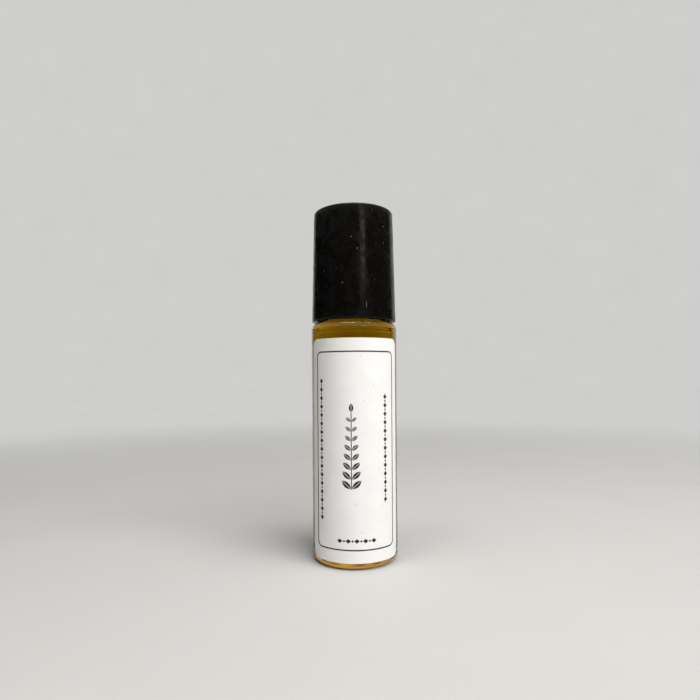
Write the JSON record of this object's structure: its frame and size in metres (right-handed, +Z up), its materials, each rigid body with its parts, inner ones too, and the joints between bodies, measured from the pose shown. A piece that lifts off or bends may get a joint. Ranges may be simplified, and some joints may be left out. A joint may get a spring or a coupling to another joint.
{
  "type": "roll on bottle",
  "caption": "Slim glass roll-on bottle of oil with a paper label, a ball applicator caged in a plug in its neck, and a tall screw cap with a threaded liner and a seal pad.",
  "frame": {"origin": "centre of the bottle's base, on the plane it stands on", "axes": "+Z up along the bottle's axis, the label faces -Y"},
  "size_m": [0.02, 0.0201, 0.081],
  "materials": {
    "clear_glass": "clear moulded soda glass, smooth",
    "golden_oil": "clear golden oil",
    "label_paper": "matt white paper with a thin printed border",
    "natural_plastic": "milky natural polyethylene",
    "polished_steel": "ground and polished",
    "black_plastic": "glossy black, lightly scuffed",
    "liner_plastic": "black polypropylene",
    "soft_elastomer": "soft moulded elastomer"
  },
  "bodies": {
    "bottle": {"glass_bottle": "clear_glass", "fragrance_oil": "golden_oil", "label": "label_paper", "roller_housing": "natural_plastic"},
    "ball": {"roller_ball": "polished_steel"},
    "pad": {"seal_pad": "soft_elastomer"},
    "cap": {"cap_shell": "black_plastic", "cap_liner": "liner_plastic"}
  },
  "joints": [
    {"name": "cap_lift", "type": "slide", "parent": "bottle", "child": "pad", "axis": [0, 0, 1], "range_m": [0, 0.018]},
    {"name": "cap_turn", "type": "hinge", "parent": "pad", "child": "cap", "pos_m": [0, 0, 0.06], "axis": [0, 0, 1], "range_deg": [0, 2160]},
    {"name": "ball_spin", "type": "hinge", "parent": "bottle", "child": "ball", "pos_m": [0, 0, 0.067], "axis": [1, 0, 0], "continuous": true}
  ],
  "couplings": [
    {"joint": "cap_lift", "follows": "cap_turn", "m_per_rad": 0.00047746}
  ]
}
